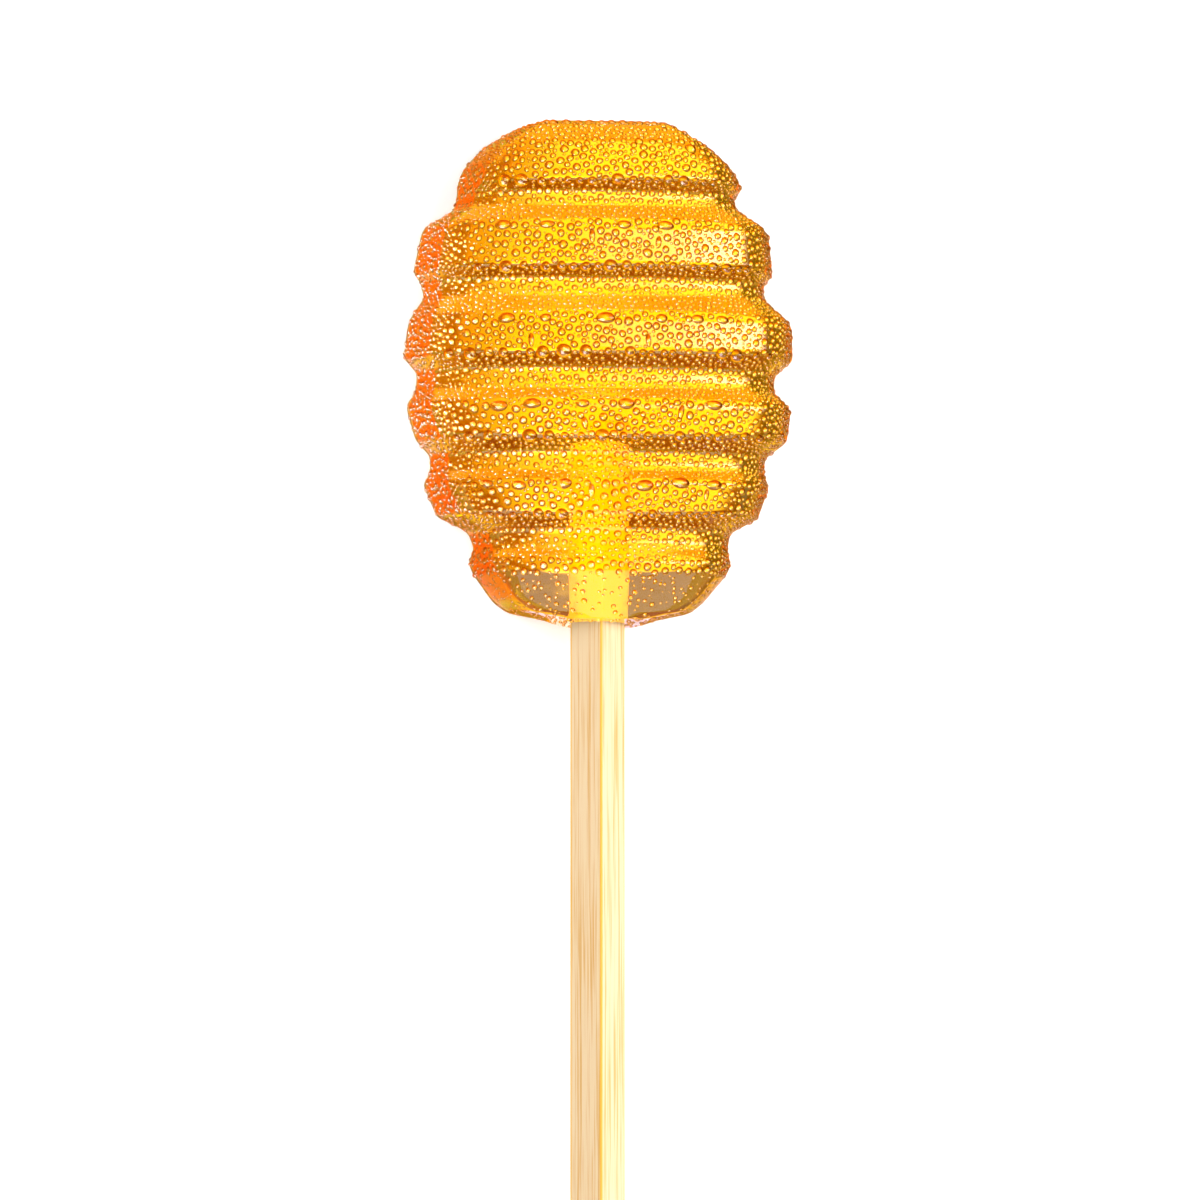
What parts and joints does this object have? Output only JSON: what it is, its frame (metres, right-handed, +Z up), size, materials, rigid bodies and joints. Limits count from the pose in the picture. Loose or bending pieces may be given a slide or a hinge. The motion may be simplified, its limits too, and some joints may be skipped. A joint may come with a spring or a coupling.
{
  "type": "honey dipper lollipop",
  "caption": "Amber boiled-sugar lollipop cast as a flat-backed ridged honey dipper, on a long square bamboo stick.",
  "frame": {"origin": "centre of the bounding box, on the surface that the flat back rests on", "axes": "+Y along the stick towards the candy head, +Z up out of the ridged front, +X to the right as the head is seen from above"},
  "size_m": [0.0393, 0.1804, 0.0135],
  "materials": {
    "boiled_sugar": "gloss, clear amber",
    "bamboo": "bare, sanded"
  },
  "bodies": {
    "root": {"candy_head": "boiled_sugar", "stick": "bamboo"}
  },
  "joints": []
}
